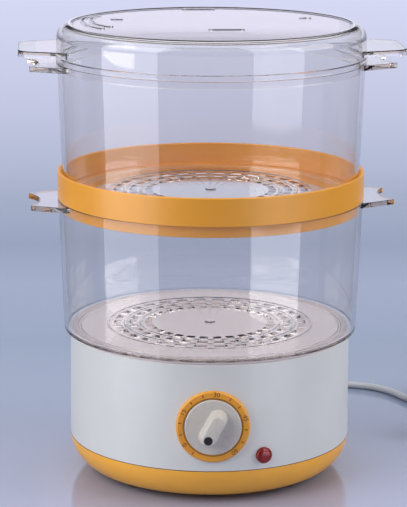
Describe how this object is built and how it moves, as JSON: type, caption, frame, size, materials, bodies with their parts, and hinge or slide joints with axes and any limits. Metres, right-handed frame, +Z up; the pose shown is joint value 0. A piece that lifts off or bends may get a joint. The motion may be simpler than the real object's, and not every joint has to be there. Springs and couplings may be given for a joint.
{
  "type": "electric food steamer",
  "caption": "Round electric food steamer: a white and orange base with a dial timer, a red lamp and a water tank, two stacked clear bowls with an orange ring between them, and a clear lid.",
  "frame": {"origin": "middle of the round stack, on the surface that the rubber feet stand on", "axes": "+Z up, the timer dial faces -Y, the cord leaves the back towards +Y"},
  "size_m": [0.3912, 0.332, 0.333],
  "materials": {
    "housing_white": "smooth, glossy",
    "orange_plastic": "smooth, glossy",
    "clear_plastic": "clear, polished, very slightly smoky",
    "tray_white": "smooth, satin",
    "tank_white": "satin",
    "foot_rubber": "matt",
    "knob_white": "smooth, satin gloss",
    "dot_black": "matt",
    "zinc_steel": "zinc-plated",
    "heater_aluminium": "die-cast, satin",
    "element_steel": "dull sheath",
    "silicone_seal": "matt",
    "gear_brass": "satin",
    "contact_brass": "bright",
    "cam_plastic": "satin",
    "timer_plastic": "satin",
    "switch_plastic": "satin",
    "bell_steel": "bright plated",
    "lamp_red": "clear red, glossy",
    "lamp_glass": "clear",
    "terminal_plastic": "satin",
    "clamp_plastic": "satin",
    "live_wire": "satin",
    "neutral_wire": "satin",
    "earth_wire": "satin, green and yellow",
    "cord_grey": "satin",
    "plug_grey": "satin",
    "pin_nickel": "nickel-plated"
  },
  "bodies": {
    "base": {"base_housing": "housing_white", "bottom_cover": "orange_plastic", "rubber_feet": "foot_rubber", "cover_screws": "zinc_steel", "water_tank": "tank_white", "heating_plate": "heater_aluminium", "heating_tube": "element_steel", "heater_gasket": "silicone_seal", "heater_screws": "zinc_steel", "thermostat": "zinc_steel", "thermal_fuse": "zinc_steel", "dial_ring": "orange_plastic", "timer_case": "timer_plastic", "timer_plate": "zinc_steel", "timer_bell": "bell_steel", "timer_screws": "zinc_steel", "switch_leaves": "contact_brass", "switch_block": "switch_plastic", "indicator_lens": "lamp_red", "neon_lamp": "lamp_glass", "terminal_block": "terminal_plastic", "live_leads": "live_wire", "neutral_leads": "neutral_wire", "earth_lead": "earth_wire", "cord_clamp": "clamp_plastic", "clamp_screws": "zinc_steel", "inner_cord": "cord_grey", "cord_strain_relief": "cord_grey", "power_cord": "cord_grey", "cord_coil": "cord_grey", "cord_tail": "cord_grey", "plug_body": "plug_grey", "plug_pins": "pin_nickel", "plug_earth_clips": "pin_nickel"},
    "knob": {"timer_knob": "knob_white", "pointer_dot": "dot_black", "timer_shaft": "zinc_steel", "main_gear": "gear_brass", "spring_barrel": "gear_brass", "switch_cam": "cam_plastic"},
    "pinion": {"escape_pinion": "gear_brass"},
    "turbo_ring": {"turbo_ring": "tank_white"},
    "drip_tray": {"drip_tray": "tray_white"},
    "lower_bowl": {"lower_bowl": "clear_plastic"},
    "tier_ring": {"tier_ring": "orange_plastic"},
    "upper_bowl": {"upper_bowl": "clear_plastic"},
    "lid": {"lid": "clear_plastic"}
  },
  "joints": [
    {"name": "knob_turn", "type": "hinge", "parent": "base", "child": "knob", "pos_m": [0, -0.1072, 0.06], "axis": [0, 1, 0], "range_deg": [0, 300]},
    {"name": "pinion_spin", "type": "hinge", "parent": "base", "child": "pinion", "pos_m": [0.01245, -0.09, 0.07245], "axis": [0, 1, 0], "range_deg": [-800, 0]},
    {"name": "turbo_ring_lift", "type": "slide", "parent": "base", "child": "turbo_ring", "axis": [0, 0, 1], "range_m": [0, 0.027]},
    {"name": "drip_tray_lift", "type": "slide", "parent": "base", "child": "drip_tray", "axis": [0, 0, 1], "range_m": [0, 0.1]},
    {"name": "lower_bowl_lift", "type": "slide", "parent": "drip_tray", "child": "lower_bowl", "axis": [0, 0, 1], "range_m": [0, 0.12]},
    {"name": "tier_ring_lift", "type": "slide", "parent": "lower_bowl", "child": "tier_ring", "axis": [0, 0, 1], "range_m": [0, 0.12]},
    {"name": "upper_bowl_lift", "type": "slide", "parent": "tier_ring", "child": "upper_bowl", "axis": [0, 0, 1], "range_m": [0, 0.12]},
    {"name": "lid_lift", "type": "slide", "parent": "upper_bowl", "child": "lid", "axis": [0, 0, 1], "range_m": [0, 0.12]}
  ],
  "couplings": [
    {"joint": "pinion_spin", "follows": "knob_turn", "ratio": -2.6667}
  ]
}
